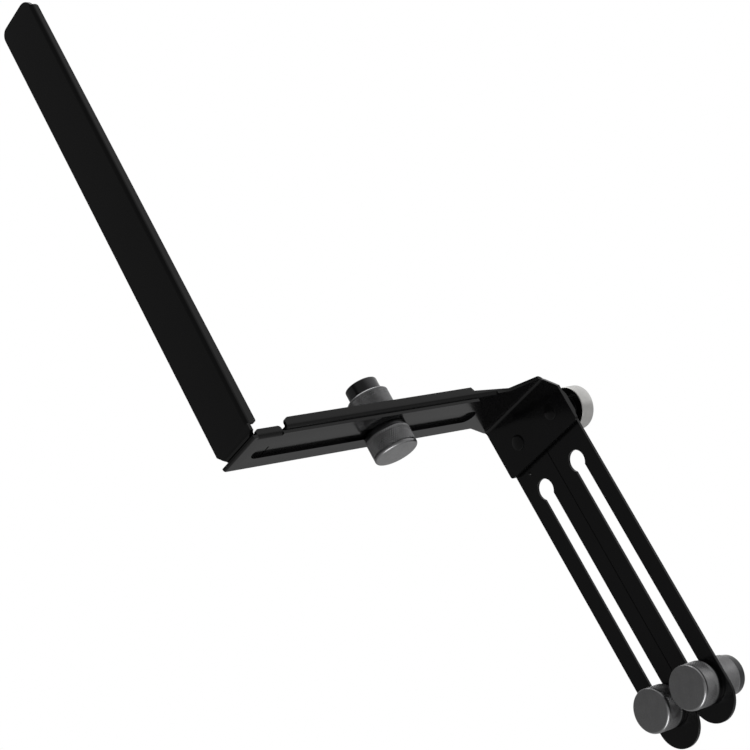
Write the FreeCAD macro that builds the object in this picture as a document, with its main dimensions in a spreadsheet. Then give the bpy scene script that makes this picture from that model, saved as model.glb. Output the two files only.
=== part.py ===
"""A folding music-stand bracket in bent sheet steel.

A tall support strip stands on a slotted arm.  The arm slides on a bracket whose front plate
carries two slotted legs, and turned thumb screws clamp the arm and the legs.

Frame: X runs along the arm from the strip to the legs, Y across the bracket, Z up the strip.
The origin lies on the front plate's front face, midway between the two leg pivots.
Lengths are in millimetres.
"""
import FreeCAD, Part
import Sketcher
import os

SHEET_NAME = "Dimensions"
DIMENSIONS = {
    # overall
    "arm_reach": 158.3,            # strip front face to front plate front face
    "pivot_depth": 12.7,           # arm underside to the pivot axes
    "strip_width": 25.0,
    "strip_offset": 1.0,           # strip centre line from the seam of the legs
    # support strip
    "strip_length": 225.5,         # arm underside to the strip's top end
    "strip_sheet": 1.5,
    "strip_corner": 4.0,           # upper corner away from the lip
    "strip_lip_corner": 6.5,       # upper corner at the lip
    "strip_bend": 3.0,             # outer radius of the bend into the foot
    "foot_length": 15.5,           # strip front face to the foot's end
    "foot_inset": 3.5,             # how much narrower the foot is on each side
    "shoulder_low": 2.6,           # arm underside to where the strip starts to widen
    "shoulder_high": 6.7,          # arm underside to the strip's full width
    "lip_shoulder_low": 2.4,       # the same two on the lip's side
    "lip_shoulder_high": 3.9,
    "lip_depth": 4.9,              # folded lip along the strip, outside, at its lower end
    "lip_taper": 1.2,              # how much shallower the lip is at its upper end
    "lip_corner": 1.2,
    "lip_foot": 7.0,               # arm underside to the lip's lower end
    "lip_head": 4.5,               # lip's upper end below the strip's top end
    # slotted arm
    "arm_sheet": 1.5,
    "arm_nose": 1.1,               # rounding of the arm's end under the strip
    "arm_slot_clearance": 1.3,     # arm slot's side to a screw on its centre line
    "arm_slot_offset": 0.9,        # slot centre line from the strip's centre line
    "arm_slot_start": 7.5,         # strip front face to the slot's end
    "arm_slot_back": 25.7,         # slot's other end to the front plate
    "arm_end_near": 32.3,          # arm's slanted end to the front plate, at its short side
    "arm_end_far": 9.3,            # the same, at its long side
    "side_flange_start": 2.4,      # strip front face to the arm's short side flange
    "side_flange_end": 15.5,
    "side_flange_height": 3.9,
    # bracket
    "bracket_sheet": 1.5,
    "web_start": 16.2,             # strip front face to the bracket's free end
    "rail_start": 17.3,            # strip front face to the guide rail
    "rail_back": 35.0,             # guide rail's end to the front plate
    "rail_toe": 1.0,               # how far that end runs on at the neck flange
    "rail_height": 4.8,            # guide rail, from the underside of its own web
    "rail_corner": 2.4,
    "neck_height": 3.0,            # low flange between the rail and the front plate
    "neck_fall": 1.4,              # how much lower that flange is where it turns outwards
    "neck_back": 13.7,             # where that flange turns outwards, to the front plate
    "neck_flare": 6.9,             # how far it has turned out at the bend, from the rail
    "rail_clearance": 0.2,         # arm's edge to the rail
    "flange_bend": 1.8,            # outer radius where a flange meets its web
    "bend_inside": 0.4,            # inner radius of the small bends
    "plate_bend": 1.5,             # inner radius between bracket panel and front plate
    "panel_back": 21.3,            # start of the widening panel to the front plate
    "plate_shoulder": 6.0,         # arm underside to the plate's full width at the lip
    "plate_drop": 10.8,            # pivot axes to the front plate's lower edge
    "plate_corner": 3.0,
    "plate_left": 23.6,            # legs' seam to the plate's left edge
    "plate_right": 25.8,           # legs' seam to the plate's lipped right edge
    "plate_lip": 2.4,              # depth of the plate's side lip, from its front face
    "plate_lip_top": 5.2,          # side lip's upper end above the pivot axes
    # legs
    "leg_sheet": 1.5,
    "leg_width": 23.2,
    "leg_gap": 0.3,
    "leg_head": 9.4,               # pivot axes to the legs' upper edges
    "leg_length": 140.0,           # pivot axis to the centre of the rounded end
    "leg_slot_clearance": 0.3,     # leg slot's side to the clamp screw
    "leg_slot_foot": 4.2,          # slot's last centre above the centre of the rounded end
    "keyhole_radius": 4.8,
    "keyhole_depth": 23.8,         # pivot axis to the keyhole's centre
    # pivots
    "pivot_left": 9.75,            # legs' seam to the left pivot
    "pivot_right": 14.95,          # legs' seam to the right pivot
    "pivot_radius": 2.0,
    "pivot_running": 0.05,         # radial clearance on the pivot screw
    "pivot_spacer": 1.2,           # thickness of the spacer between plate and leg
    "pivot_spacer_radius": 7.0,
    "pivot_head_radius": 3.5,
    "pivot_head": 0.8,
    "pivot_washer": 0.8,
    "pivot_washer_radius": 6.5,
    "pivot_hub_radius": 6.0,
    "pivot_hub": 5.3,
    "pivot_knob_radius": 9.7,
    "pivot_knob": 7.6,
    "pivot_end": 1.2,              # screw end below the knob's outer face
    # clamp screws
    "screw_radius": 3.0,
    "screw_running": 0.05,
    "screw_loose": 0.3,            # radial clearance in washers
    "front_washer": 2.0,
    "front_washer_radius": 9.5,
    "rear_washer": 1.0,
    "rear_washer_radius": 8.2,
    "knob_radius": 9.8,
    "knob_length": 9.4,
    "knob_cap": 2.6,               # metal left over the screw's end
    "knob_chamfer": 0.5,
    "nut_radius": 9.3,
    "leg_nut_length": 14.2,
    "arm_nut_length": 12.5,        # without its collar
    "arm_collar_radius": 7.2,
    "arm_collar_length": 6.2,
    "nut_chamfer": 0.6,
    "screw_recess": 1.3,           # screw's end below the nut's outer face
    "arm_clamp_back": 79.3,        # arm clamp to the front plate
    "arm_clamp_offset": 1.3,       # arm clamp from the seam of the legs
    "left_clamp_foot": 7.9,        # leg clamps above the centres of the rounded ends
    "right_clamp_foot": 6.3,
    "over": 2.0,                   # how far a cutting tool runs past the sheet
}

doc = FreeCAD.newDocument("MusicStandBracket")


class Size:
    """A length that carries both its expression on the sheet and its present value."""

    def __init__(self, text, number):
        self.text = text
        self.number = number

    @staticmethod
    def of(value):
        return value if isinstance(value, Size) else Size(repr(float(value)), float(value))

    def __add__(self, other):
        other = Size.of(other)
        return Size(f"({self.text} + {other.text})", self.number + other.number)

    def __sub__(self, other):
        other = Size.of(other)
        return Size(f"({self.text} - {other.text})", self.number - other.number)

    def __mul__(self, factor):
        return Size(f"({self.text} * {factor})", self.number * factor)

    def __truediv__(self, divisor):
        return Size(f"({self.text} / {divisor})", self.number / divisor)

    def __neg__(self):
        return Size(f"(0 - {self.text})", -self.number)


def make_sheet():
    """Write the driving dimensions to the sheet and return them as sizes by name."""
    sheet = doc.addObject("Spreadsheet::Sheet", SHEET_NAME)
    sizes = {}
    for row, (name, value) in enumerate(DIMENSIONS.items(), start=1):
        sheet.set(f"A{row}", name)
        sheet.set(f"B{row}", str(value))
        sheet.setAlias(f"B{row}", name)
        sizes[name] = Size(f"{SHEET_NAME}.{name}", value)
    doc.recompute()
    return sizes


d = make_sheet()

# ---------------------------------------------------------------------------- shared places

plate_front = Size.of(0)
plate_back = d["bracket_sheet"]
leg_front = plate_back + d["pivot_spacer"]
leg_back = leg_front + d["leg_sheet"]
strip_front = -d["arm_reach"]
strip_back = strip_front + d["strip_sheet"]

arm_under = d["pivot_depth"]
arm_top = arm_under + d["arm_sheet"]
web_top = arm_top + d["bracket_sheet"]
strip_top = arm_under + d["strip_length"]

strip_low = d["strip_offset"] - d["strip_width"] / 2
strip_high = d["strip_offset"] + d["strip_width"] / 2
arm_low = strip_low + d["rail_clearance"]
slot_line = d["strip_offset"] + d["arm_slot_offset"]

rail_inner = strip_low
rail_outer = rail_inner - d["bracket_sheet"]
web_left = strip_front + d["web_start"]
rail_left = strip_front + d["rail_start"]
rail_right = plate_front - d["rail_back"]
neck_right = plate_front - d["neck_back"]
rail_top = arm_top + d["rail_height"]
neck_top = arm_top + d["neck_height"]
neck_low = neck_top - d["neck_fall"]

arm_clamp = (plate_front - d["arm_clamp_back"], d["arm_clamp_offset"])
leg_centre = (d["leg_width"] + d["leg_gap"]) / 2
leg_end = -d["leg_length"]

# ---------------------------------------------------------------------------- sketch tools

PLANES = {"XY": ("XY_Plane", 1), "XZ": ("XZ_Plane", -1), "YZ": ("YZ_Plane", 1)}


def new_body(label):
    body = doc.addObject("PartDesign::Body", label)
    body.Label = label
    return body


def new_sketch(body, plane, level):
    """Return a sketch on one of the body's own origin planes, moved to a level on its normal."""
    role, sense = PLANES[plane]
    sketch = body.newObject("Sketcher::SketchObject", "Sketch")
    support = next(f for f in body.Origin.OriginFeatures if f.Role == role)
    sketch.AttachmentSupport = [(support, "")]
    sketch.MapMode = "FlatFace"
    offset = level if sense > 0 else -level
    sketch.AttachmentOffset = FreeCAD.Placement(
        FreeCAD.Vector(0, 0, offset.number), FreeCAD.Rotation())
    sketch.setExpression("AttachmentOffset.Base.z", offset.text)
    return sketch


def bind(sketch, constraint, size):
    """Add a constraint with the size's value and tie it to the sheet."""
    index = sketch.addConstraint(Sketcher.Constraint(*constraint, size.number))
    sketch.setExpression(f"Constraints[{index}]", size.text)


def place_point(sketch, geometry, point, across, up):
    bind(sketch, ("DistanceX", -1, 1, geometry, point), across)
    bind(sketch, ("DistanceY", -1, 1, geometry, point), up)


def vector(across, up):
    return FreeCAD.Vector(across.number, up.number, 0)


def heading(start, end):
    """Return the whole-number direction of a side that runs along one sketch axis."""
    across = end[0].number - start[0].number
    up = end[1].number - start[1].number
    return (across > 1e-9) - (across < -1e-9), (up > 1e-9) - (up < -1e-9)


def outline_pieces(corners):
    """Cut an outline into lines and quarter arcs.

    A corner is (across, up) or (across, up, radius), and the sides at a rounded corner run
    along the sketch's axes.  Each piece is (start, radius or None, arc centre or None).
    """
    pieces = []
    count = len(corners)
    for index, corner in enumerate(corners):
        before = corners[index - 1]
        after = corners[(index + 1) % count]
        if len(corner) == 2:
            pieces.append((corner, None, None))
            continue
        radius = corner[2]
        come = heading(before, corner)
        go = heading(corner, after)
        entry = (corner[0] - radius * come[0], corner[1] - radius * come[1])
        leave = (corner[0] + radius * go[0], corner[1] + radius * go[1])
        centre = (entry[0] + radius * go[0], entry[1] + radius * go[1])
        pieces.append((entry, radius, centre))
        pieces.append((leave, None, None))
    kept = []
    for index, piece in enumerate(pieces):
        following = pieces[(index + 1) % len(pieces)]
        gap = (vector(*following[0]) - vector(*piece[0])).Length
        if piece[1] is not None or gap > 1e-6:
            kept.append(piece)
    return kept


def arc_between(start, end, centre, radius):
    """Return a quarter arc and whether it had to be turned round to run anticlockwise."""
    middle = vector(*centre)
    circle = Part.Circle(middle, FreeCAD.Vector(0, 0, 1), radius.number)
    clockwise = (vector(*start) - middle).cross(vector(*end) - middle).z < 0
    first, last = (end, start) if clockwise else (start, end)
    low = circle.parameter(vector(*first))
    high = circle.parameter(vector(*last))
    return Part.ArcOfCircle(circle, low, high), clockwise


def draw_outline(sketch, corners):
    """Draw a closed outline whose every point and radius follows the sheet."""
    pieces = outline_pieces(corners)
    ends = []
    for index, (start, radius, centre) in enumerate(pieces):
        end = pieces[(index + 1) % len(pieces)][0]
        if radius is None:
            geometry = sketch.addGeometry(Part.LineSegment(vector(*start), vector(*end)), False)
            ends.append((geometry, 1, 2))
            continue
        arc, turned = arc_between(start, end, centre, radius)
        geometry = sketch.addGeometry(arc, False)
        bind(sketch, ("Radius", geometry), radius)
        ends.append((geometry, 2, 1) if turned else (geometry, 1, 2))
    for index, (geometry, first, last) in enumerate(ends):
        following = ends[(index + 1) % len(ends)]
        sketch.addConstraint(
            Sketcher.Constraint("Coincident", geometry, last, following[0], following[1]))
        place_point(sketch, geometry, first, *pieces[index][0])


def draw_circle(sketch, centre, radius):
    circle = Part.Circle(vector(*centre), FreeCAD.Vector(0, 0, 1), radius.number)
    geometry = sketch.addGeometry(circle, False)
    bind(sketch, ("Radius", geometry), radius)
    place_point(sketch, geometry, 3, *centre)


def box_outline(low, high, radius=None):
    """Return the corners of an upright rectangle, all of them rounded if a radius is given."""
    corners = [(low[0], low[1]), (high[0], low[1]), (high[0], high[1]), (low[0], high[1])]
    return corners if radius is None else [(*corner, radius) for corner in corners]


def shape_sketch(body, plane, level, shape):
    """Draw a shape, either ("circle", centre, radius) or a list of corners."""
    sketch = new_sketch(body, plane, level)
    if shape[0] == "circle":
        draw_circle(sketch, shape[1], shape[2])
    else:
        draw_outline(sketch, shape)
    return sketch


def pad(body, plane, low, high, shape):
    """Add material between two levels of the axis that stands on the plane."""
    level = low if PLANES[plane][1] > 0 else high
    feature = body.newObject("PartDesign::Pad", "Pad")
    feature.Profile = shape_sketch(body, plane, level, shape)
    feature.setExpression("Length", (high - low).text)
    doc.recompute()
    return feature


def pocket(body, plane, low, high, shape):
    """Remove material between two levels, and make sure that some was there."""
    before = body.Shape.Volume
    level = high if PLANES[plane][1] > 0 else low
    feature = body.newObject("PartDesign::Pocket", "Pocket")
    feature.Profile = shape_sketch(body, plane, level, shape)
    feature.setExpression("Length", (high - low).text)
    doc.recompute()
    if body.Shape.Volume > before - 1e-3:
        raise RuntimeError(f"{body.Label}: a pocket removed nothing")
    return feature


def edges_where(shape, test):
    """Name the edges whose middle point and direction pass a test."""
    names = []
    for number, edge in enumerate(shape.Edges, start=1):
        middle = edge.valueAt((edge.FirstParameter + edge.LastParameter) / 2)
        if test(edge, middle):
            names.append(f"Edge{number}")
    if not names:
        raise RuntimeError("no edge passes the test")
    return names


def near(value, size):
    return abs(value - size.number) < 1e-3


def is_along(edge, axis):
    """Tell whether an edge is a straight line along the axis of that number."""
    if edge.Curve.TypeId != "Part::GeomLine":
        return False
    return abs(edge.tangentAt(edge.FirstParameter)[axis]) > 0.999


def dress(body, kind, size, names):
    """Fillet or chamfer the named edges of the body's present tip."""
    base = body.Tip
    feature = body.newObject(f"PartDesign::{kind}", kind)
    feature.Base = (base, names)
    feature.setExpression("Radius" if kind == "Fillet" else "Size", size.text)
    doc.recompute()
    return feature


def turned(label, plane, centre, steps, bores, chamfer=None):
    """Build a turned piece: coaxial discs, then bores, then a chamfer on the outer rims.

    A step or bore is (low level, high level, radius).
    """
    body = new_body(label)
    for low, high, radius in steps:
        pad(body, plane, low, high, ("circle", centre, radius))
    for low, high, radius in bores:
        pocket(body, plane, low, high, ("circle", centre, radius))
    if chamfer is not None:
        widest = max((step[2] for step in steps), key=lambda size: size.number)
        rims = edges_where(body.Shape, lambda edge, middle: edge.Curve.TypeId == "Part::GeomCircle"
                           and near(edge.Curve.Radius, widest))
        dress(body, "Chamfer", chamfer, rims)
    return body


# ---------------------------------------------------------------------------- sheet pieces

def make_support_strip():
    """Upright strip on a narrower foot, with one long edge folded into a shallow lip."""
    body = new_body("support_strip")
    foot_end = strip_front + d["foot_length"]
    foot_top = arm_top + d["strip_sheet"]
    side = [
        (strip_front, arm_top, d["strip_bend"]), (foot_end, arm_top), (foot_end, foot_top),
        (strip_back, foot_top, d["strip_bend"] - d["strip_sheet"]), (strip_back, strip_top),
        (strip_front, strip_top),
    ]
    pad(body, "XZ", strip_low, strip_high, side)
    for side, radius in ((strip_high, d["strip_corner"]), (strip_low, d["strip_lip_corner"])):
        corner = edges_where(body.Shape, lambda edge, middle: is_along(edge, 0)
                             and near(middle.z, strip_top) and near(middle.y, side))
        dress(body, "Fillet", radius, corner)
    through = (strip_front - d["over"], foot_end + d["over"])
    for edge, inner, beyond, side in (
            (strip_low, strip_low + d["foot_inset"], strip_low - d["over"], "lip_"),
            (strip_high, strip_high - d["foot_inset"], strip_high + d["over"], "")):
        low = arm_under + d[f"{side}shoulder_low"]
        high = arm_under + d[f"{side}shoulder_high"]
        pocket(body, "YZ", *through,
               [(beyond, arm_under), (inner, arm_under), (inner, low), (edge, high),
                (beyond, high)])
    lip_foot = arm_under + d["lip_foot"]
    lip_head = strip_top - d["lip_head"]
    lip_back = strip_front + d["lip_depth"]
    notch_in = strip_low + d["flange_bend"]
    pocket(body, "YZ", strip_front - d["over"], strip_back + d["over"],
           box_outline((strip_low - d["over"], lip_foot), (notch_in, lip_head)))
    profile = [
        (strip_front, notch_in), (strip_front, strip_low, d["flange_bend"]),
        (lip_back, strip_low), (lip_back, strip_low + d["strip_sheet"]),
        (strip_back, strip_low + d["strip_sheet"], d["bend_inside"] / 2), (strip_back, notch_in),
    ]
    pad(body, "XY", lip_foot, lip_head, profile)
    lip_narrow = lip_back - d["lip_taper"]
    beyond = lip_back + d["over"]
    pocket(body, "XZ", strip_low - d["over"], strip_low + d["flange_bend"],
           [(lip_back, lip_foot), (beyond, lip_foot), (beyond, lip_head), (lip_narrow, lip_head)])
    ends = edges_where(body.Shape, lambda edge, middle: is_along(edge, 1)
                       and (near(middle.x, lip_back) or near(middle.x, lip_narrow)))
    dress(body, "Fillet", d["lip_corner"], ends)
    return body


def make_slotted_arm():
    """Flat arm with a long slot, a rounded nose under the strip and a short side flange."""
    body = new_body("slotted_arm")
    near_end = plate_front - d["arm_end_near"]
    far_end = plate_front - d["arm_end_far"]
    side = [
        (strip_front, arm_under, d["arm_nose"]), (far_end, arm_under), (far_end, arm_top),
        (strip_front, arm_top),
    ]
    pad(body, "XZ", arm_low, strip_high, side)
    beyond = far_end + d["over"]
    cut_low = arm_under - d["over"]
    cut_high = arm_top + d["over"]
    pocket(body, "XY", cut_low, cut_high,
           [(near_end, arm_low), (near_end, arm_low - d["over"]), (beyond, arm_low - d["over"]),
            (beyond, strip_high), (far_end, strip_high)])
    slot_half = d["screw_radius"] + d["arm_slot_clearance"]
    slot_low = (strip_front + d["arm_slot_start"], slot_line - slot_half)
    slot_high = (plate_front - d["arm_slot_back"], slot_line + slot_half)
    pocket(body, "XY", cut_low, cut_high, box_outline(slot_low, slot_high, slot_half))
    start = strip_front + d["side_flange_start"]
    stop = strip_front + d["side_flange_end"]
    notch_in = arm_low + d["flange_bend"]
    pocket(body, "XY", cut_low, cut_high,
           box_outline((start, arm_low - d["over"]), (stop, notch_in)))
    flange_top = arm_under + d["side_flange_height"]
    flange_in = arm_low + d["arm_sheet"]
    profile = [
        (notch_in, arm_under), (notch_in, arm_top), (flange_in, arm_top, d["bend_inside"] / 2),
        (flange_in, flange_top), (arm_low, flange_top), (arm_low, arm_under, d["flange_bend"]),
    ]
    pad(body, "YZ", start, stop, profile)
    ends = edges_where(body.Shape, lambda edge, middle: is_along(edge, 1)
                       and near(middle.z, flange_top))
    dress(body, "Fillet", d["arm_sheet"], ends)
    return body


def make_bracket_arm():
    """Bracket: web with a guide rail, widening panel and a front plate folded down from it."""
    body = new_body("bracket_arm")
    sheet = d["bracket_sheet"]
    rail = [
        (strip_high, arm_top), (strip_high, web_top), (rail_inner, web_top, d["bend_inside"]),
        (rail_inner, rail_top), (rail_outer, rail_top), (rail_outer, arm_top, d["flange_bend"]),
    ]
    pad(body, "YZ", rail_left, neck_right, rail)
    pad(body, "XY", arm_top, web_top,
        box_outline((web_left, rail_inner + d["flange_bend"]), (rail_left, strip_high)))

    panel_left = plate_front - d["panel_back"]
    plate_low = -d["plate_right"]
    plate_bottom = -d["plate_drop"]
    fold = [
        (panel_left, arm_top), (plate_front, arm_top, d["plate_bend"]),
        (plate_front, plate_bottom), (plate_back, plate_bottom),
        (plate_back, web_top, d["plate_bend"] + sheet), (panel_left, web_top),
    ]
    pad(body, "XZ", plate_low, d["plate_left"], fold)

    # the panel widens from the web's width to the plate's
    bend_start = plate_front - d["plate_bend"]
    cut_low = arm_top - d["over"]
    cut_high = web_top + d["over"]
    past = panel_left - d["over"]
    pocket(body, "XY", cut_low, cut_high,
           [(panel_left, strip_high), (bend_start, d["plate_left"]),
            (bend_start, d["plate_left"] + d["over"]), (past, d["plate_left"] + d["over"]),
            (past, strip_high)])
    flare_low = rail_outer - d["neck_flare"]
    pocket(body, "XY", cut_low, cut_high,
           [(neck_right, rail_outer), (past, rail_outer), (past, plate_low - d["over"]),
            (bend_start, plate_low - d["over"]), (bend_start, flare_low)])
    beyond = plate_low - d["over"]
    pocket(body, "YZ", bend_start - d["over"], plate_back + d["over"],
           [(beyond, web_top + d["over"]), (flare_low, web_top + d["over"]), (flare_low, arm_top),
            (plate_low, arm_under - d["plate_shoulder"]),
            (beyond, arm_under - d["plate_shoulder"])])

    # the neck flange follows the widening edge and runs out at the bend
    slanted = sheet * 1.4
    pad(body, "XY", web_top, neck_low,
        [(neck_right, rail_outer), (bend_start, flare_low), (bend_start, flare_low + slanted),
         (neck_right, rail_outer + slanted)])
    pocket(body, "XZ", plate_low - d["over"], rail_inner + sheet,
           [(neck_right, neck_low), (bend_start, web_top), (bend_start + sheet, web_top),
            (bend_start + sheet, neck_top), (neck_right, neck_top)])

    # the guide rail steps down to the neck flange, and its free corner is rounded
    step = rail_right + d["rail_toe"]
    pocket(body, "XZ", rail_outer - d["over"], rail_inner + d["flange_bend"],
           [(step, neck_top), (neck_right, neck_low), (neck_right + d["over"], neck_low),
            (neck_right + d["over"], rail_top), (rail_right, rail_top)])
    corner = edges_where(body.Shape, lambda edge, middle: is_along(edge, 1)
                         and near(middle.x, rail_left) and near(middle.z, rail_top))
    dress(body, "Fillet", d["rail_corner"], corner)

    # side lip of the front plate: folded back, but short of the legs' front faces
    lip_high = d["plate_lip_top"]
    lip_low = plate_bottom + d["plate_corner"] / 2
    lip_back = plate_front + d["plate_lip"]
    root = plate_back - sheet / 2
    pad(body, "XZ", plate_low, plate_low + sheet,
        [(root, lip_low), (lip_back, lip_low + d["plate_corner"]),
         (lip_back, lip_high - d["plate_corner"]), (root, lip_high)])

    # lower corners of the plate, then the holes
    corners = edges_where(body.Shape, lambda edge, middle: is_along(edge, 0)
                          and near(middle.z, plate_bottom))
    dress(body, "Fillet", d["plate_corner"] / 2, corners)
    pocket(body, "XY", cut_low, cut_high,
           ("circle", arm_clamp, d["screw_radius"] + d["screw_running"]))
    for side in (d["pivot_left"], -d["pivot_right"]):
        pocket(body, "YZ", plate_front - d["over"], plate_back + d["over"],
               ("circle", (side, Size.of(0)), d["pivot_radius"]))
    return body


def make_leg(label, centre, pivot):
    """Leg strip with rounded ends, a pivot hole and a slot that opens into a keyhole."""
    body = new_body(label)
    half = d["leg_width"] / 2
    foot, head = leg_end - half, d["leg_head"]
    pad(body, "YZ", leg_front, leg_back, [
        (centre - half, foot, half), (centre + half, foot, half),
        (centre + half, head, head), (centre - half, head, head),
    ])
    through = (leg_front - d["over"], leg_back + d["over"])
    slot_half = d["screw_radius"] + d["leg_slot_clearance"]
    slot_foot = leg_end + d["leg_slot_foot"]
    pocket(body, "YZ", *through,
           box_outline((centre - slot_half, slot_foot - slot_half),
                       (centre + slot_half, slot_half - d["keyhole_depth"]), slot_half))
    pocket(body, "YZ", *through,
           ("circle", (centre, -d["keyhole_depth"]), d["keyhole_radius"]))
    pocket(body, "YZ", *through,
           ("circle", (pivot, Size.of(0)), d["pivot_radius"] + d["pivot_running"]))
    return body


# ---------------------------------------------------------------------------- turned pieces

def make_pivot(side, pivot):
    """Pivot of one leg: headed screw, spacer, washer and a thumb nut behind the leg."""
    place = (pivot, Size.of(0))
    nut_foot = leg_back + d["pivot_washer"]
    knob_foot = nut_foot + d["pivot_hub"]
    knob_end = knob_foot + d["pivot_knob"]
    screw_end = knob_end - d["pivot_end"]
    running = d["pivot_radius"] + d["pivot_running"]
    bodies = [
        turned(f"pivot_screw_{side}", "YZ", place,
               [(plate_front - d["pivot_head"], plate_front, d["pivot_head_radius"]),
                (plate_front, screw_end, d["pivot_radius"])], [], d["pivot_head"] / 3),
        turned(f"pivot_spacer_{side}", "YZ", place,
               [(plate_back, leg_front, d["pivot_spacer_radius"])],
               [(plate_back - d["over"], leg_front + d["over"], running)]),
        turned(f"pivot_washer_{side}", "YZ", place,
               [(leg_back, nut_foot, d["pivot_washer_radius"])],
               [(leg_back - d["over"], nut_foot + d["over"], running)]),
        turned(f"pivot_nut_{side}", "YZ", place,
               [(nut_foot, knob_foot, d["pivot_hub_radius"]),
                (knob_foot, knob_end, d["pivot_knob_radius"])],
               [(nut_foot - d["over"], knob_end + d["over"], running)], d["nut_chamfer"]),
    ]
    return bodies


def make_clamp(name, plane, place, front, back, nut_length, collar=None):
    """Thumb-screw clamp through sheets that lie between two levels.

    The knob is fixed on the screw at the front; the nut runs on the screw behind the sheets.
    A collar, if the nut has one, is (radius, length) at its outer end.
    """
    radius = d["screw_radius"]
    loose = radius + d["screw_loose"]
    over = d["over"]
    knob_back = front - d["front_washer"]
    knob_front = knob_back - d["knob_length"]
    screw_start = knob_front + d["knob_cap"]
    nut_foot = back + d["rear_washer"]
    nut_end = nut_foot + nut_length
    nut_steps = [(nut_foot, nut_end, d["nut_radius"])]
    if collar is not None:
        nut_steps.append((nut_end, nut_end + collar[1], collar[0]))
        nut_end = nut_end + collar[1]
    screw_end = nut_end - d["screw_recess"]
    return [
        turned(f"{name}_knob", plane, place, [(knob_front, knob_back, d["knob_radius"])],
               [(screw_start, knob_back + over, radius)], d["knob_chamfer"]),
        turned(f"{name}_screw", plane, place, [(screw_start, screw_end, radius)], []),
        turned(f"{name}_front_washer", plane, place,
               [(knob_back, front, d["front_washer_radius"])],
               [(knob_back - over, front + over, loose)]),
        turned(f"{name}_rear_washer", plane, place,
               [(back, nut_foot, d["rear_washer_radius"])],
               [(back - over, nut_foot + over, loose)]),
        turned(f"{name}_nut", plane, place, nut_steps,
               [(nut_foot - over, nut_end + over, radius + d["screw_running"])],
               d["nut_chamfer"]),
    ]


# ---------------------------------------------------------------------------- the model

def make_all():
    bodies = [make_support_strip(), make_slotted_arm(), make_bracket_arm()]
    for side, centre, pivot, foot in (
            ("left", leg_centre, d["pivot_left"], d["left_clamp_foot"]),
            ("right", -leg_centre, -d["pivot_right"], d["right_clamp_foot"])):
        bodies.append(make_leg(f"leg_{side}", centre, pivot))
        bodies += make_pivot(side, pivot)
        bodies += make_clamp(f"leg_{side}_clamp", "YZ", (centre, leg_end + foot),
                             leg_front, leg_back, d["leg_nut_length"])
    bodies += make_clamp("arm_clamp", "XY", arm_clamp, arm_under, web_top, d["arm_nut_length"],
                         (d["arm_collar_radius"], d["arm_collar_length"]))
    return bodies


def check_and_export(bodies):
    """Refuse a failed feature or a broken solid, then write one file for each piece."""
    doc.recompute()
    for item in doc.Objects:
        if "Invalid" in item.State or "Error" in item.State:
            raise RuntimeError(f"{item.Label} failed: {item.State}")
    for body in bodies:
        shape = body.Shape
        if shape.isNull() or not shape.isValid() or len(shape.Solids) != 1:
            raise RuntimeError(f"{body.Label} is not one valid solid")
    os.makedirs("parts", exist_ok=True)
    for body in bodies:
        body.Shape.exportStep(f"parts/{body.Label}.step")


check_and_export(make_all())
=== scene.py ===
import math

import bmesh
import bpy
import numpy as np
from bpy.props import FloatProperty, FloatVectorProperty, IntProperty, PointerProperty
from mathutils import Matrix, Vector


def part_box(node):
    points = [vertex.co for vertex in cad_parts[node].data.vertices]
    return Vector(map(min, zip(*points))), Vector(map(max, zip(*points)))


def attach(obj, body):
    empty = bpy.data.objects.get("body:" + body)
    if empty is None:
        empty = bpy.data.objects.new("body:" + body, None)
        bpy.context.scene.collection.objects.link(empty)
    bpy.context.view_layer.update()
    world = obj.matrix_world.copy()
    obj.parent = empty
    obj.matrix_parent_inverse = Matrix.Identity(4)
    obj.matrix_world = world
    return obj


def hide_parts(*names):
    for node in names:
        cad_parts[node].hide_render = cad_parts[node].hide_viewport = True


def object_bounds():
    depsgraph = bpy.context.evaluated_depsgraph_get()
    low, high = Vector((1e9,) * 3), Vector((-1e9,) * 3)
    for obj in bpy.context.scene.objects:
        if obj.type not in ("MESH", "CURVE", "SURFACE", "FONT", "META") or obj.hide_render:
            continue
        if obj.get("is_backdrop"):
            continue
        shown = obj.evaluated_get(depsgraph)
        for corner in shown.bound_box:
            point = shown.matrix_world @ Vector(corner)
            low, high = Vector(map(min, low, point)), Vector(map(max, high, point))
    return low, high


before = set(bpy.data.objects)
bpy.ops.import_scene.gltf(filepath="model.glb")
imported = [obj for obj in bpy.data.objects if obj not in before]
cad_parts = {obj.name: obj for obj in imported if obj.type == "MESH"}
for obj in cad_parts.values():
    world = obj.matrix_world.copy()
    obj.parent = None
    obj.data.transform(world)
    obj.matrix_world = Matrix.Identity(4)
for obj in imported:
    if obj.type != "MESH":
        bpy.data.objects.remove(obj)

bl_info = {
    "name": "Music stand bracket",
    "version": (1, 0, 0),
    "blender": (4, 5, 0),
    "location": "3D View > Sidebar > Stand",
    "description": "Builds the painted sheets, knurled clamps and pivots of a sheet-steel stand bracket",
    "category": "Add Mesh",
}

MM = 0.001
SHEETS = {
    "support_strip": "strip_arm",
    "slotted_arm": "strip_arm",
    "bracket_arm": "bracket",
    "leg_left": "leg_left",
    "leg_right": "leg_right",
}
# clamp name: (axis it is turned about, body of its washers)
CLAMPS = {
    "arm_clamp": (2, "bracket"),
    "leg_left_clamp": (0, "leg_left_clamp_slider"),
    "leg_right_clamp": (0, "leg_right_clamp_slider"),
}
SIDES = ("left", "right")
LONG_AXIS, UP_AXIS = 0, 2

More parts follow.
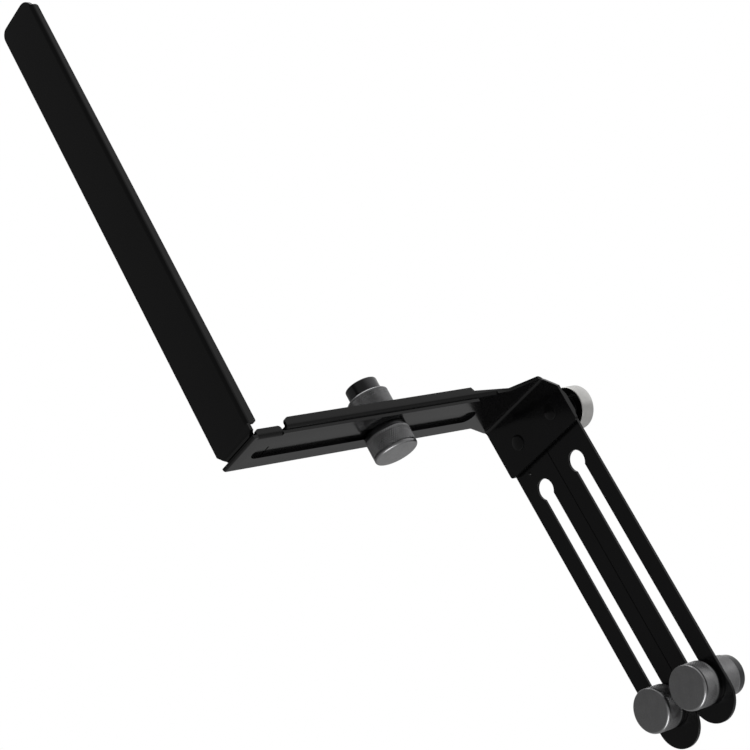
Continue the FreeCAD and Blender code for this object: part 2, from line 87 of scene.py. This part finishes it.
# sizes of the hardware that the frame's boxes don't give
RIM_ROUNDING = 1.15 * MM
GROOVE = (1.25 * MM, 1.85 * MM)  # behind a knob's rim, from the knob's face
GROOVE_DEPTH = 0.7 * MM
GROOVE_SIDE = 0.1 * MM
KNOB_BACK_ROUNDING = 0.5 * MM
THREAD_DEPTH = 0.42 * MM
SCREW_CHAMFER = 0.5 * MM
NUT_CHAMFER = 0.5 * MM
NUT_SHOULDER_CHAMFER = 0.4 * MM
NUT_SINK = 0.5 * MM
NUT_BORE_SLACK = 0.05 * MM
ARM_COLLAR_LENGTH, ARM_COLLAR_RADIUS = 6.2 * MM, 7.2 * MM
LEG_COLLAR_LENGTH, LEG_COLLAR_STEP = 4.0 * MM, 0.7 * MM
CLAMP_WASHER_HOLE = 3.3 * MM
PIVOT_HOLE = 2.05 * MM
PIVOT_SHANK = 2.0 * MM
PIVOT_HUB_LENGTH, PIVOT_HUB_RADIUS = 5.3 * MM, 6.0 * MM
PIP_RISE, PIP_RADIUS, PIP_SEAT = 0.55 * MM, 0.9 * MM, 0.3 * MM
PIP_OUTWARD, PIP_BELOW_TOP = 3.4 * MM, 22.7 * MM  # from the left leg's centre line and top

# grain of the finishes, as noise scales and the spacing of the lathe rings
PEEL, DRIFT, SPECKS, BLOTCHES = 1300.0, 45.0, 5200.0, 260.0
PEEL_HEIGHT = 0.012 * MM
RING_SPACING = 0.22 * MM

# stage
FLOOR_HALF = 3.0
TENT_RADIUS = 4.0
TENT_DIM = 0.22
# direction from the part, cosine where the glow ends, strength
TENT_LIGHTS = (((0.75, -0.25, 0.45), 0.2, 0.85),)
# place, target, size
SOFTBOX = ((-0.30, 0.0, -0.50), (-0.30, 0.0, 0.0), 0.4)
OVERHEAD = ((0.1, 0.0, 1.7), (-0.05, 0.0, 0.0), 1.4)
CAMERA_PLACE = (-0.699555, -0.600331, -0.287847)
CAMERA_RIGHT = (0.72749933, -0.5191125, -0.44862784)
CAMERA_UP = (0.10733249, -0.55971537, 0.82170459)
CAMERA_BACK = (-0.67766103, -0.64594188, -0.35147492)
CAMERA_LENS, CAMERA_SENSOR = 105.54, 36.0


# ------------------------------------------------------------------ shader expressions

class Wire:
    """A socket of numbers. Python arithmetic on it adds the Math nodes that do the same."""

    def __init__(self, graph, socket):
        self.graph = graph
        self.socket = socket

    def __add__(self, other):
        return self.graph.math("ADD", self, other)

    def __radd__(self, other):
        return self.graph.math("ADD", other, self)

    def __sub__(self, other):
        return self.graph.math("SUBTRACT", self, other)

    def __rsub__(self, other):
        return self.graph.math("SUBTRACT", other, self)

    def __mul__(self, other):
        return self.graph.math("MULTIPLY", self, other)

    def __rmul__(self, other):
        return self.graph.math("MULTIPLY", other, self)


class Graph:
    """The node tree of one material or world."""

    def __init__(self, owner):
        owner.use_nodes = True
        self.tree = owner.node_tree
        self.tree.nodes.clear()

    def add(self, kind, settings=None, inputs=None):
        """Add a node: its settings go in first, then the values or links of its sockets."""
        node = self.tree.nodes.new(kind)
        for name, value in (settings or {}).items():
            setattr(node, name, value)
        for key, value in (inputs or {}).items():
            socket = node.inputs[key]
            if isinstance(value, Wire):
                self.tree.links.new(value.socket, socket)
            else:
                socket.default_value = value
        return node

    def wire(self, node, output=0):
        return Wire(self, node.outputs[output])

    def math(self, operation, first, second=0.0):
        node = self.add("ShaderNodeMath", {"operation": operation}, {0: first, 1: second})
        return self.wire(node)

    def mix_colour(self, factor, first, second):
        node = self.add("ShaderNodeMix", {"data_type": "RGBA"},
                        {"Factor": factor, 6: (*first, 1.0), 7: (*second, 1.0)})
        return self.wire(node, 2)

    def noise(self, place, scale, detail):
        node = self.add("ShaderNodeTexNoise", {"noise_dimensions": "3D"},
                        {"Vector": place, "Scale": scale, "Detail": detail, "Roughness": 0.55})
        return self.wire(node, "Fac")

    def object_place(self):
        return self.wire(self.add("ShaderNodeTexCoord"), "Object")

    def bump(self, height, strength, distance):
        node = self.add("ShaderNodeBump", {}, {"Height": height, "Strength": strength,
                                               "Distance": distance})
        return self.wire(node, "Normal")

    def surface(self, shader):
        self.add("ShaderNodeOutputMaterial", {}, {"Surface": shader})


def painted_steel(name, paint):
    """Satin black paint: a fine orange-peel skin, with a slow drift of colour and gloss."""
    material = bpy.data.materials.new(name)
    graph = Graph(material)
    place = graph.object_place()
    peel = graph.noise(place, PEEL, 2.0)
    drift = graph.noise(place, DRIFT, 3.0)
    specks = graph.noise(place, SPECKS, 1.0)
    lighter = [channel * 1.9 for channel in paint.colour]
    body = graph.add("ShaderNodeBsdfPrincipled", {}, {
        "Base Color": graph.mix_colour(drift * 0.6 + specks * 0.25, paint.colour, lighter),
        "Roughness": paint.roughness - 0.03 + drift * 0.06,
        "Specular IOR Level": paint.shine,
        "Normal": graph.bump(peel * 0.8 + specks * 0.2, 0.06, PEEL_HEIGHT),
    })
    graph.surface(graph.wire(body))
    return material


def turned_metal(name, colour, roughness, ring_depth):
    """Lathe-turned metal: fine rings follow the distance along the section it was turned to."""
    material = bpy.data.materials.new(name)
    graph = Graph(material)
    place = graph.object_place()
    distance = graph.wire(graph.add("ShaderNodeAttribute", {"attribute_name": "turning"}), "Fac")
    blotches = graph.noise(place, BLOTCHES, 3.0)
    rings = graph.math("SINE", distance * (2 * math.pi / RING_SPACING) + blotches * 5.0)
    darker = [channel * 0.72 for channel in colour]
    body = graph.add("ShaderNodeBsdfPrincipled", {}, {
        "Base Color": graph.mix_colour(blotches, colour, darker),
        "Metallic": 1.0,
        "Roughness": roughness + rings * 0.03 + blotches * 0.12,
        "Normal": graph.bump(rings, 0.12, ring_depth),
    })
    graph.surface(graph.wire(body))
    return material


def finish(kind):
    """The material of that kind, made by its own function the first time it is asked for."""
    name = f"stand_{kind}"
    found = bpy.data.materials.get(name)
    if found is not None:
        return found
    if kind == "black_sheet":
        return painted_steel(name, bpy.context.scene.stand_paint)
    metal = bpy.context.scene.stand_metal
    if kind == "black_hardware":
        return turned_metal(name, metal.black_colour, metal.black_roughness, 0.006 * MM)
    if kind == "black_threads":
        return turned_metal(name, metal.thread_colour, metal.black_roughness, 0.004 * MM)
    return turned_metal(name, metal.plated_colour, metal.plated_roughness, 0.004 * MM)


# ------------------------------------------------------------------ surfaces

def saw(turns):
    """Height 0 at whole numbers, rising in straight lines to 1 at the halves between them."""
    return 1 - np.abs(2 * (turns - np.floor(turns)) - 1)


def rounded(corners, steps=4, closed=False):
    """Section through corners of (along, radius, rounding).

    Near a corner P the curve is (1-s)^2 A + 2 s (1-s) P + s^2 B, for s from 0 to 1, where A and B
    lie on the corner's two sides, one rounding away from it. A corner without rounding stays.
    """
    points = np.array([corner[:2] for corner in corners], float)
    section = []
    for number, (here, corner) in enumerate(zip(points, corners)):
        end = not closed and number in (0, len(points) - 1)
        if end or corner[2] == 0:
            section.append(here[None, :])
            continue
        back = points[number - 1] - here
        on = points[(number + 1) % len(points)] - here
        first = here + back / np.linalg.norm(back) * corner[2]
        last = here + on / np.linalg.norm(on) * corner[2]
        s = np.linspace(0, 1, steps + 1)[:, None]
        section.append((1 - s) ** 2 * first + 2 * s * (1 - s) * here + s ** 2 * last)
    return np.concatenate(section)


def filled(section, zone, step):
    """Section with extra points, a step apart along the axis, on its side between zone's ends."""
    rows = np.arange(zone[0], zone[1] + step / 2, step)
    before = section[:-1, 0] <= zone[0] + 1e-9
    after = section[1:, 0] >= zone[1] - 1e-9
    radius = section[:, 1].max()
    outer = np.minimum(section[:-1, 1], section[1:, 1]) > radius - 1e-9
    place = int(np.flatnonzero(before & after & outer)[0]) + 1
    extra = np.stack([rows, np.full(len(rows), radius)], axis=1)
    return np.concatenate([section[:place], extra, section[place:]])


def diamond_knurl(zone, radius, starts, depth):
    """Crossed grooves: relief is depth where angle/pitch + along/lead or angle/pitch - along/lead
    is a whole number, and fades to nothing on the crest between them and at the zone's ends."""
    rate = starts * math.tan(math.radians(30)) / (2 * math.pi * radius)

    def relief(along, across, angle):
        turns = angle * starts / (2 * math.pi)
        rise = (along - zone[0]) * rate
        crest = np.minimum(saw(turns + rise), saw(turns - rise))
        inside = (along > zone[0] - 1e-9) & (along < zone[1] + 1e-9) & (across > radius - 1e-9)
        edge = np.clip(np.minimum(along - zone[0], zone[1] - along) / (0.25 * MM), 0, 1)
        return depth * (1 - np.clip(crest * 1.35, 0, 1)) * inside * (0.35 + 0.65 * edge)

    return relief, 1 / (6 * rate)


def screw_thread(zone, radius, pitch, depth):
    """One groove that winds round: relief is depth where along/pitch - angle/turn is whole."""

    def relief(along, across, angle):
        crest = saw((along - zone[0]) / pitch - angle / (2 * math.pi))
        inside = (along > zone[0] - 1e-9) & (along < zone[1] + 1e-9) & (across > radius - 1e-9)
        return depth * (1 - np.clip(crest * 1.2, 0, 1)) * inside

    return relief, pitch / 8


def turned_points(section, columns, relief=None):
    """Surface of revolution: (along, r cos(angle), r sin(angle)), r = section radius - relief."""
    along = section[:, :1]
    angle = np.arange(columns)[None, :] * (2 * math.pi / columns)
    across = section[:, 1:] + 0 * angle
    if relief is not None:
        across = across - relief(along + 0 * angle, across, angle)
    return np.stack([along + 0 * angle, across * np.cos(angle), across * np.sin(angle)], axis=-1)


def grid_faces(rows, columns, closed):
    """Quads between neighbouring rows and columns; with poles, a fan closes each end."""
    here = np.arange(columns)
    after = np.roll(here, -1)
    if closed:
        first = np.arange(rows)[:, None] * columns
        second = np.roll(first, -1, axis=0)
        start = 0
    else:
        first = np.arange(rows - 3)[:, None] * columns + 1
        second = first + columns
        start = 1
    quads = np.stack([first + here, first + after, second + after, second + here], axis=-1)
    faces = quads.reshape(-1, 4).tolist()
    if not closed:
        last_row = start + (rows - 3) * columns
        pole = start + (rows - 2) * columns
        faces += np.stack([0 * here, after + start, here + start], axis=-1).tolist()
        faces += np.stack([0 * here + pole, last_row + here, last_row + after], axis=-1).tolist()
    return faces


def outward(points, faces):
    """The faces, all turned round if the volume that they enclose comes out negative."""
    corners = np.array([face[:3] for face in faces] + [[f[0], f[2], f[-1]] for f in faces
                                                       if len(f) == 4])
    a, b, c = (points[corners[:, k]] for k in range(3))
    volume = np.einsum("ij,ij->i", a, np.cross(b, c)).sum()
    return faces if volume > 0 else [face[::-1] for face in faces]


def turned_piece(name, place, section, columns, relief=None, closed=False):
    """Object turned to a section. place is (axis, centre, start, sense) of its axis."""
    axis, centre, start, sense = place
    grid = turned_points(section, columns, relief)
    rows = len(section)
    travelled = np.concatenate([[0], np.cumsum(np.linalg.norm(np.diff(section, axis=0), axis=1))])
    distance = np.repeat(travelled[:, None], columns, axis=1)
    if closed:
        local, along_section = grid.reshape(-1, 3), distance.ravel()
    else:
        local = np.concatenate([grid[0, :1], grid[1:-1].reshape(-1, 3), grid[-1, :1]])
        along_section = np.concatenate([[0], distance[1:-1].ravel(), [travelled[-1]]])
    others = [k for k in range(3) if k != axis]
    points = np.zeros_like(local)
    points[:, axis] = start + sense * local[:, 0]
    for k, column in zip(others, (1, 2)):
        points[:, k] = centre[k] + local[:, column]
    faces = outward(points, grid_faces(rows, columns, closed))
    mesh = bpy.data.meshes.new(name)
    mesh.from_pydata(points.tolist(), [], faces)
    mesh.attributes.new("turning", "FLOAT", "POINT").data.foreach_set(
        "value", along_section.astype(np.float32))
    return finished_object(name, mesh)


def finished_object(name, mesh):
    """Link an object for the mesh, smooth but for the edges sharper than 32 degrees."""
    mesh.validate()
    mesh.shade_smooth()
    mesh.set_sharp_from_angle(angle=math.radians(32))
    made = bpy.data.objects.new(name, mesh)
    bpy.context.scene.collection.objects.link(made)
    return made


def tone_and_shade_band(piece, axis, low, high, material):
    """Give the faces whose middle lies between low and high along the axis a second material, which
    serves both as a second finish and as painted shade.
    """
    mesh = piece.data
    mesh.materials.append(finish(material))
    middle = np.zeros(len(mesh.polygons) * 3, np.float32)
    mesh.polygons.foreach_get("center", middle)
    along = middle.reshape(-1, 3)[:, axis]
    mesh.polygons.foreach_set("material_index", ((along > low) & (along < high)).astype(np.int32))
    mesh.update()


def settle(piece, node, body, slot, material=None):
    """Put the piece on its body, in the place of its node, in the finish of its slot."""
    piece.data.materials.append(finish(material or slot))
    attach(piece, body)
    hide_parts(node)


def turning_place(node, axis, sense):
    """(axis, centre, start, sense), its length and its radius, from the node's box.

    The start is the end that sense points away from.
    """
    low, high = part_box(node)
    start = low[axis] if sense > 0 else high[axis]
    cross = (axis + 1) % 3
    length = high[axis] - low[axis]
    return (axis, (low + high) / 2, start, sense), length, (high[cross] - low[cross]) / 2


# ------------------------------------------------------------------ settings

class StandPaint(bpy.types.PropertyGroup):
    colour: FloatVectorProperty(
        name="Paint", description="Colour of the sheet pieces", subtype="COLOR",
        default=(0.0018, 0.0018, 0.0019), min=0.0, max=1.0)
    roughness: FloatProperty(
        name="Roughness", description="How satin the paint is", subtype="FACTOR",
        default=0.17, min=0.05, max=1.0)
    shine: FloatProperty(
        name="Shine", description="Strength of the paint's reflections", subtype="FACTOR",
        default=0.21, min=0.0, max=1.0)
    edge: FloatProperty(
        name="Edge rounding", description="Rounding that deburring and paint leave on the edges",
        unit="LENGTH", default=0.22 * MM, min=0.0, max=0.6 * MM, precision=5)


class StandMetal(bpy.types.PropertyGroup):
    black_colour: FloatVectorProperty(
        name="Black plating", description="Colour of the knurled knobs and nuts",
        subtype="COLOR", default=(0.3, 0.3, 0.304), min=0.0, max=1.0)
    black_roughness: FloatProperty(
        name="Black roughness", description="Roughness of the black plating",
        subtype="FACTOR", default=0.2, min=0.05, max=1.0)
    thread_colour: FloatVectorProperty(
        name="Threads", description="Colour of the clamp screws, their washers and the nuts' ends",
        subtype="COLOR",
        default=(0.07, 0.07, 0.072), min=0.0, max=1.0)
    plated_colour: FloatVectorProperty(
        name="Bright plating", description="Colour of the thumb nuts, spacers and their washers",
        subtype="COLOR", default=(0.62, 0.615, 0.6), min=0.0, max=1.0)
    plated_roughness: FloatProperty(
        name="Bright roughness", description="Roughness of the bright plating",
        subtype="FACTOR", default=0.3, min=0.05, max=1.0)


class StandKnurl(bpy.types.PropertyGroup):
    starts: IntProperty(
        name="Ridges", description="Ridges of the knurl round a knob", default=60, min=20, max=120)
    depth: FloatProperty(
        name="Depth", description="Depth of the knurl's grooves", unit="LENGTH",
        default=0.36 * MM, min=0.0, max=0.6 * MM, precision=5)
    pitch: FloatProperty(
        name="Thread pitch", description="Pitch of the clamp screws' thread", unit="LENGTH",
        default=1.0 * MM, min=0.5 * MM, max=2.0 * MM, precision=5)


class StandStage(bpy.types.PropertyGroup):
    floor_drop: FloatProperty(
        name="Floor", description="Distance from the part's lowest point down to the floor",
        unit="LENGTH", default=0.45, min=0.2, max=2.0)
    softbox: FloatProperty(
        name="Softbox", description="Power of the soft light below the legs", default=1.8, min=0.0)
    overhead: FloatProperty(
        name="Overhead", description="Power of the wide light above", default=11.0, min=0.0)
    surround: FloatProperty(
        name="Surround", description="Strength of the light from all round", default=0.45, min=0.0)


# ------------------------------------------------------------------ operators

class STAND_OT_sheets(bpy.types.Operator):
    """Painted sheet pieces: each frame solid with its edges rounded as deburred and painted"""

    bl_idname = "stand.sheets"
    bl_label = "Painted sheets"

    def execute(self, context):
        for node, body in SHEETS.items():
            mesh = bpy.data.meshes.new(f"{node}_painted")
            work = bmesh.new()
            work.from_mesh(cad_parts[node].data)
            bmesh.ops.remove_doubles(work, verts=work.verts, dist=1e-6)
            bmesh.ops.dissolve_limit(work, angle_limit=math.radians(0.8),
                                     verts=work.verts, edges=work.edges)
            work.to_mesh(mesh)
            work.free()
            piece = finished_object(mesh.name, mesh)
            bevel = piece.modifiers.new("Deburred edges", "BEVEL")
            bevel.width = context.scene.stand_paint.edge
            bevel.segments = 3
            bevel.limit_method = "ANGLE"
            bevel.angle_limit = math.radians(38)
            bevel.harden_normals = True
            settle(piece, node, body, "black_sheet")
        return {"FINISHED"}


class STAND_OT_knobs(bpy.types.Operator):
    """Knurled clamp knobs, turned with a flat face, a rounded rim and a blind bore"""

    bl_idname = "stand.knobs"
    bl_label = "Clamp knobs"

    def execute(self, context):
        knurl = context.scene.stand_knurl
        for clamp, (axis, _) in CLAMPS.items():
            node = f"{clamp}_knob"
            place, length, radius = turning_place(node, axis, 1)
            bore = turning_place(f"{clamp}_screw", axis, 1)
            blind = bore[0][2] - place[2]
            floor = radius - GROOVE_DEPTH
            section = rounded([
                (0, 0, 0), (0, radius, RIM_ROUNDING), (GROOVE[0], radius, GROOVE_SIDE),
                (GROOVE[0] + GROOVE_SIDE, floor, GROOVE_SIDE / 2),
                (GROOVE[1] - GROOVE_SIDE, floor, GROOVE_SIDE / 2),
                (GROOVE[1], radius, GROOVE_SIDE / 2), (length, radius, KNOB_BACK_ROUNDING),
                (length, bore[2], 0), (blind, bore[2], 0), (blind, 0, 0),
            ])
            zone = (GROOVE[1] + GROOVE_SIDE, length - KNOB_BACK_ROUNDING - 0.3 * MM)
            relief, step = diamond_knurl(zone, radius, knurl.starts, knurl.depth)
            section = filled(section, zone, step)
            piece = turned_piece(f"{node}_knurled", place, section, knurl.starts * 6, relief)
            settle(piece, node, f"{clamp}_screw", "black_hardware")
        return {"FINISHED"}


class STAND_OT_screws(bpy.types.Operator):
    """Clamp screws, threaded all along, with a chamfered end"""

    bl_idname = "stand.screws"
    bl_label = "Clamp screws"

    def execute(self, context):
        pitch = context.scene.stand_knurl.pitch
        for clamp, (axis, _) in CLAMPS.items():
            node = f"{clamp}_screw"
            place, length, radius = turning_place(node, axis, 1)
            section = rounded([(0, 0, 0), (0, radius, 0), (length - SCREW_CHAMFER, radius, 0),
                               (length, radius - SCREW_CHAMFER, 0), (length, 0, 0)])
            zone = (pitch / 2, length - SCREW_CHAMFER)
            relief, step = screw_thread(zone, radius, pitch, THREAD_DEPTH)
            section = filled(section, zone, step)
            piece = turned_piece(f"{node}_threaded", place, section, 40, relief)
            settle(piece, node, f"{clamp}_screw", "black_hardware", "black_threads")
        return {"FINISHED"}


class STAND_OT_nuts(bpy.types.Operator):
    """Knurled clamp nuts with a smooth darker outer end, a through bore and a countersink"""

    bl_idname = "stand.nuts"
    bl_label = "Clamp nuts"

    def execute(self, context):
        knurl = context.scene.stand_knurl
        for clamp, (axis, _) in CLAMPS.items():
            node = f"{clamp}_nut"
            place, length, radius = turning_place(node, axis, 1)
            bore = turning_place(f"{clamp}_screw", axis, 1)[2] + NUT_BORE_SLACK
            if clamp == "arm_clamp":
                shoulder, collar = length - ARM_COLLAR_LENGTH, ARM_COLLAR_RADIUS
            else:
                shoulder, collar = length - LEG_COLLAR_LENGTH, radius - LEG_COLLAR_STEP
            crown = shoulder - NUT_SHOULDER_CHAMFER
            section = rounded([
                (0, bore, 0), (0, radius - NUT_CHAMFER, 0), (NUT_CHAMFER, radius, 0),
                (crown, radius, 0), (shoulder, radius - NUT_SHOULDER_CHAMFER, 0),
                (shoulder, collar, 0), (length, collar, 0.6 * MM), (length, bore + 1.6 * MM, 0),
                (length - NUT_SINK, bore + 1.1 * MM, 0), (length - NUT_SINK, bore, 0),
            ], closed=True)
            zone = (NUT_CHAMFER, crown)
            relief, step = diamond_knurl(zone, radius, knurl.starts, knurl.depth)
            section = filled(section, zone, step)
            piece = turned_piece(f"{node}_knurled", place, section, knurl.starts * 6, relief,
                                 closed=True)
            settle(piece, node, f"{clamp}_nut", "black_hardware")
            start = place[2]
            tone_and_shade_band(piece, axis, start + shoulder - 0.1 * MM, start + length, "black_threads")
        return {"FINISHED"}


class STAND_OT_washers(bpy.types.Operator):
    """Clamp washers and pivot spacers and washers: flat rings with rounded edges"""

    bl_idname = "stand.washers"
    bl_label = "Washers"

    def execute(self, context):
        rings = [(f"{clamp}_{end}_washer", axis, body, "black_hardware", CLAMP_WASHER_HOLE)
                 for clamp, (axis, body) in CLAMPS.items() for end in ("front", "rear")]
        rings += [(f"pivot_{kind}_{side}", LONG_AXIS, "bracket", "plated_steel", PIVOT_HOLE)
                  for side in SIDES for kind in ("spacer", "washer")]
        for node, axis, body, slot, hole in rings:
            place, length, radius = turning_place(node, axis, 1)
            edge = min(0.3 * MM, length * 0.3)
            section = rounded([(0, hole, 0), (0, radius, edge), (length, radius, edge),
                               (length, hole, 0)], closed=True)
            piece = turned_piece(f"{node}_ring", place, section, 128, closed=True)
            settle(piece, node, body, slot, "black_threads" if slot == "black_hardware" else None)
        return {"FINISHED"}


class STAND_OT_pivots(bpy.types.Operator):
    """Leg pivots: a low domed screw in front and a smooth thumb nut with a narrower hub behind"""

    bl_idname = "stand.pivots"
    bl_label = "Leg pivots"

    def execute(self, context):
        for side in SIDES:
            node = f"pivot_screw_{side}"
            place, length, head = turning_place(node, LONG_AXIS, 1)
            rise = -place[2]
            dome = [(rise * 0.6 * share ** 2, head * share * 0.94, 0)
                    for share in np.linspace(0, 1, 9)]
            section = rounded(dome + [
                (rise * 0.72, head, 0), (rise, head, 0), (rise, PIVOT_SHANK, 0),
                (length - 0.3 * MM, PIVOT_SHANK, 0), (length, PIVOT_SHANK - 0.3 * MM, 0),
                (length, 0, 0),
            ])
            piece = turned_piece(f"{node}_domed", place, section, 72)
            settle(piece, node, "bracket", "black_hardware", "black_sheet")

            node = f"pivot_nut_{side}"
            place, length, radius = turning_place(node, LONG_AXIS, 1)
            section = rounded([
                (0, PIVOT_HOLE, 0), (0, PIVOT_HUB_RADIUS, 0.3 * MM),
                (PIVOT_HUB_LENGTH, PIVOT_HUB_RADIUS, 0.2 * MM),
                (PIVOT_HUB_LENGTH, radius, 0.5 * MM), (length, radius, 0.8 * MM),
                (length, PIVOT_HOLE + 1.0 * MM, 0), (length - 0.6 * MM, PIVOT_HOLE, 0),
            ], closed=True)
            piece = turned_piece(f"{node}_smooth", place, section, 144, closed=True)
            settle(piece, node, f"pivot_nut_{side}", "plated_steel")
            # painted shade: the hub and the near face of the plated thumb nut get the black paint, so
            # that they are as dark as the shade that falls between the nut and the leg
            start = place[2]
            tone_and_shade_band(piece, LONG_AXIS, start - MM, start + PIVOT_HUB_LENGTH + 0.05 * MM,
                     "black_sheet")
        return {"FINISHED"}


class STAND_OT_pip(bpy.types.Operator):
    """Low pip pressed out of the left leg, below the plate and beside the keyhole"""

    bl_idname = "stand.pip"
    bl_label = "Leg pip"

    def execute(self, context):
        low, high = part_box("leg_left")
        centre = (0, (low[1] + high[1]) / 2 + PIP_OUTWARD, high[2] - PIP_BELOW_TOP)
        dome = [(PIP_RISE * share ** 2, PIP_RADIUS * share, 0)
                for share in np.linspace(0, 1, 7)]
        back = PIP_RISE + PIP_SEAT
        section = rounded(dome + [(back, PIP_RADIUS, 0), (back, 0, 0)])
        place = (LONG_AXIS, centre, low[0] - PIP_RISE, 1)
        piece = turned_piece("leg_left_pip", place, section, 32)
        piece.data.materials.append(finish("black_sheet"))
        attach(piece, "leg_left")
        return {"FINISHED"}


class STAND_OT_stage(bpy.types.Operator):
    """Pale floor, surrounding tent of soft light, lamps, white background and camera"""

    bl_idname = "stand.stage"
    bl_label = "Stage"

    def execute(self, context):
        scene = context.scene
        scene.view_settings.view_transform = "Standard"
        settings = scene.stand_stage
        low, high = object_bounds()
        make_floor(low.z - settings.floor_drop)
        make_tent()
        make_world(settings.surround)
        area_lamp("Softbox below", *SOFTBOX, settings.softbox)
        area_lamp("Overhead", *OVERHEAD, settings.overhead)
        make_camera()
        return {"FINISHED"}


def make_floor(level):
    """Square floor, a grid of points all at one level."""
    side = np.linspace(-FLOOR_HALF, FLOOR_HALF, 13)
    x, y = np.meshgrid(side, side)
    points = np.stack([x, y, np.full_like(x, level)], axis=-1).reshape(-1, 3)
    count = len(side)
    corner = (np.arange(count - 1)[:, None] * count + np.arange(count - 1)).ravel()
    faces = np.stack([corner, corner + 1, corner + count + 1, corner + count], axis=-1)
    mesh = bpy.data.meshes.new("floor")
    mesh.from_pydata(points.tolist(), [], faces.tolist())
    floor = finished_object("floor", mesh)
    material = bpy.data.materials.new("floor")
    graph = Graph(material)
    body = graph.add("ShaderNodeBsdfPrincipled", {}, {"Base Color": (0.8, 0.8, 0.8, 1.0),
                                                      "Roughness": 0.9})
    graph.surface(graph.wire(body))
    mesh.materials.append(material)
    floor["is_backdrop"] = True


def make_tent():
    """Wide sphere that only reflections see: dim, with a brighter wall beyond the legs."""
    rows, columns = 24, 48
    rise = np.linspace(-math.pi / 2, math.pi / 2, rows)
    section = TENT_RADIUS * np.stack([np.sin(rise), np.cos(rise)], axis=1)
    section[[0, -1], 1] = 0
    tent = turned_piece("tent", (UP_AXIS, (0, 0, 0), 0, 1), section, columns)
    material = bpy.data.materials.new("tent")
    graph = Graph(material)
    place = graph.object_place()
    total = 0.0
    for direction, spread, strength in TENT_LIGHTS:
        toward = graph.add("ShaderNodeVectorMath", {"operation": "DOT_PRODUCT"},
                           {0: place, 1: tuple(Vector(direction).normalized() / TENT_RADIUS)})
        facing = graph.wire(toward, "Value")
        lobe = graph.math("MAXIMUM", (facing - spread) * (1 / (1 - spread)), 0.0)
        total = total + graph.math("SMOOTH_MIN", lobe, 1.0) * strength
    glow = graph.add("ShaderNodeEmission", {}, {"Color": total + TENT_DIM, "Strength": 1.0})
    graph.surface(graph.wire(glow))
    tent.data.materials.append(material)
    for ray in ("camera", "diffuse", "transmission", "volume_scatter", "shadow"):
        setattr(tent, f"visible_{ray}", False)
    tent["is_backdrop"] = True


def make_world(strength):
    """White where the camera, reflections or clear things look, and a plain level elsewhere."""
    world = bpy.data.worlds.new("surround")
    bpy.context.scene.world = world
    graph = Graph(world)
    rays = graph.add("ShaderNodeLightPath")
    seen = graph.math("MAXIMUM", graph.wire(rays, "Is Camera Ray"),
                      graph.wire(rays, "Is Glossy Ray"))
    seen = graph.math("MAXIMUM", seen, graph.wire(rays, "Is Transmission Ray"))
    glow = graph.add("ShaderNodeBackground", {}, {"Color": (1, 1, 1, 1),
                                                  "Strength": seen * (1 - strength) + strength})
    graph.add("ShaderNodeOutputWorld", {}, {"Surface": graph.wire(glow)})


def area_lamp(name, place, target, size, power):
    """Square lamp at a place, turned to face its target."""
    lamp = bpy.data.lights.new(name, "AREA")
    lamp.shape = "SQUARE"
    lamp.size = size
    lamp.energy = power
    made = bpy.data.objects.new(name, lamp)
    made.location = place
    made.rotation_mode = "QUATERNION"
    made.rotation_quaternion = (Vector(target) - Vector(place)).to_track_quat("-Z", "Y")
    bpy.context.scene.collection.objects.link(made)


def make_camera():
    """Camera below and to the left of the strip, rolled so that the arm runs to the right."""
    camera = bpy.data.cameras.new("camera")
    camera.sensor_width = CAMERA_SENSOR
    camera.lens = CAMERA_LENS
    camera.clip_start, camera.clip_end = 0.05, 20.0
    made = bpy.data.objects.new("camera", camera)
    turn = Matrix((CAMERA_RIGHT, CAMERA_UP, CAMERA_BACK)).transposed().to_4x4()
    made.matrix_world = Matrix.Translation(CAMERA_PLACE) @ turn
    bpy.context.scene.collection.objects.link(made)
    bpy.context.scene.camera = made


# ------------------------------------------------------------------ panel and registration

class STAND_PT_panel(bpy.types.Panel):
    """The settings and operators of the stand bracket, in the sidebar"""

    bl_label = "Stand bracket"
    bl_idname = "STAND_PT_panel"
    bl_space_type = "VIEW_3D"
    bl_region_type = "UI"
    bl_category = "Stand"

    def draw(self, context):
        layout = self.layout
        for name, group in GROUPS.items():
            box = layout.box()
            settings = getattr(context.scene, name)
            for setting in group.__annotations__:
                box.prop(settings, setting)
        for operator in OPERATORS:
            layout.operator(operator.bl_idname)


GROUPS = {
    "stand_paint": StandPaint,
    "stand_metal": StandMetal,
    "stand_knurl": StandKnurl,
    "stand_stage": StandStage,
}
OPERATORS = (STAND_OT_sheets, STAND_OT_knobs, STAND_OT_screws, STAND_OT_nuts,
             STAND_OT_washers, STAND_OT_pivots, STAND_OT_pip, STAND_OT_stage)


def register():
    for name, group in GROUPS.items():
        bpy.utils.register_class(group)
        setattr(bpy.types.Scene, name, PointerProperty(type=group))
    for kind in (*OPERATORS, STAND_PT_panel):
        bpy.utils.register_class(kind)


def unregister():
    for kind in (STAND_PT_panel, *reversed(OPERATORS)):
        bpy.utils.unregister_class(kind)
    for name, group in GROUPS.items():
        delattr(bpy.types.Scene, name)
        bpy.utils.unregister_class(group)


def main():
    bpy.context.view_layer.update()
    register()
    bpy.ops.stand.sheets()
    bpy.ops.stand.knobs()
    bpy.ops.stand.screws()
    bpy.ops.stand.nuts()
    bpy.ops.stand.washers()
    bpy.ops.stand.pivots()
    bpy.ops.stand.pip()
    bpy.ops.stand.stage()


if __name__ == "__main__":
    main()
